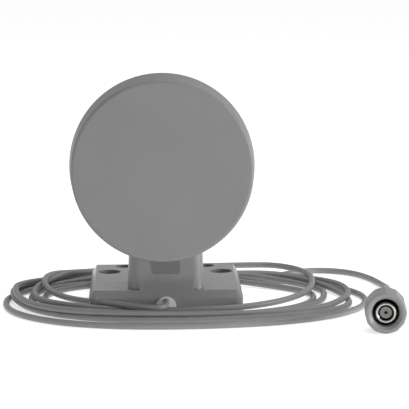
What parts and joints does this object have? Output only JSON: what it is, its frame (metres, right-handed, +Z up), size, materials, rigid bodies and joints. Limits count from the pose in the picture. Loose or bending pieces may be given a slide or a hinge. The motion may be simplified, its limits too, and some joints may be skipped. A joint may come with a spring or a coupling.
{
  "type": "directional patch antenna",
  "caption": "Round flat-faced directional antenna that tilts on a short neck above a drilled base, with a coiled coax lead and a threaded plug.",
  "frame": {"origin": "on the table, under the drum's middle, midway between the drum's face and the base's back edge", "axes": "+Z up, -Y the way the antenna faces, +X to the right of someone who looks at its face"},
  "size_m": [0.1644, 0.1336, 0.0983],
  "materials": {
    "housing_plastic": "fine satin",
    "drum_plastic": "fine satin",
    "badge_plastic": "satin",
    "grommet_plastic": "satin",
    "foot_rubber": "matt",
    "seal_rubber": "matt",
    "lead_jacket": "satin",
    "screw_steel": "zinc",
    "plate_steel": "black coat",
    "bearing_nylon": "smooth",
    "element_aluminium": "rolled",
    "element_brass": "rolled",
    "connector_nickel": "nickel plate",
    "contact_gold": "gold plate",
    "spring_bronze": "plain",
    "insulator_white": "smooth",
    "nut_plastic": "satin",
    "boot_rubber": "satin"
  },
  "bodies": {
    "base_and_lead": {"base_housing": "housing_plastic", "blank_badge": "badge_plastic", "neck_cover": "housing_plastic", "neck_cover_screws": "screw_steel", "bottom_plate": "plate_steel", "plate_screws": "screw_steel", "feet": "foot_rubber", "cable_grommet": "grommet_plastic", "cable_clamp": "bearing_nylon", "clamp_screws": "screw_steel", "neck_lead": "lead_jacket", "hinge_bush": "bearing_nylon", "pivot_cap": "housing_plastic", "cord_exit": "lead_jacket", "cord_coil": "lead_jacket", "cord_tail": "lead_jacket", "plug_gasket": "seal_rubber", "plug_body": "connector_nickel", "plug_insulator": "insulator_white", "plug_contact": "contact_gold", "nut_retainer": "spring_bronze", "crimp_ferrule": "connector_nickel", "lead_boot": "boot_rubber", "plug_lead": "lead_jacket"},
    "head": {"radome": "drum_plastic", "cover_seal": "seal_rubber", "rear_cover": "drum_plastic", "cover_screws": "screw_steel", "ground_plane": "element_aluminium", "patch_element": "element_brass", "director_element": "element_brass", "patch_spacers": "bearing_nylon", "director_spacers": "bearing_nylon", "element_screws": "bearing_nylon", "feed_pin": "element_brass", "lead_ferrule": "connector_nickel", "head_lead": "lead_jacket", "tilt_bolt": "screw_steel", "tilt_nut": "screw_steel", "friction_washer": "bearing_nylon", "spring_washer": "screw_steel"},
    "plug_nut": {"coupling_nut": "nut_plastic"}
  },
  "joints": [
    {"name": "head_tilt", "type": "hinge", "parent": "base_and_lead", "child": "head", "pos_m": [0.0013, -0.0073, 0.052], "axis": [-1, 0, 0], "range_deg": [-5, 90]},
    {"name": "coupling_nut_spin", "type": "hinge", "parent": "base_and_lead", "child": "plug_nut", "pos_m": [0.0859, -0.0611, 0.0082], "axis": [-0.0837, -0.9965, 0], "continuous": true}
  ]
}
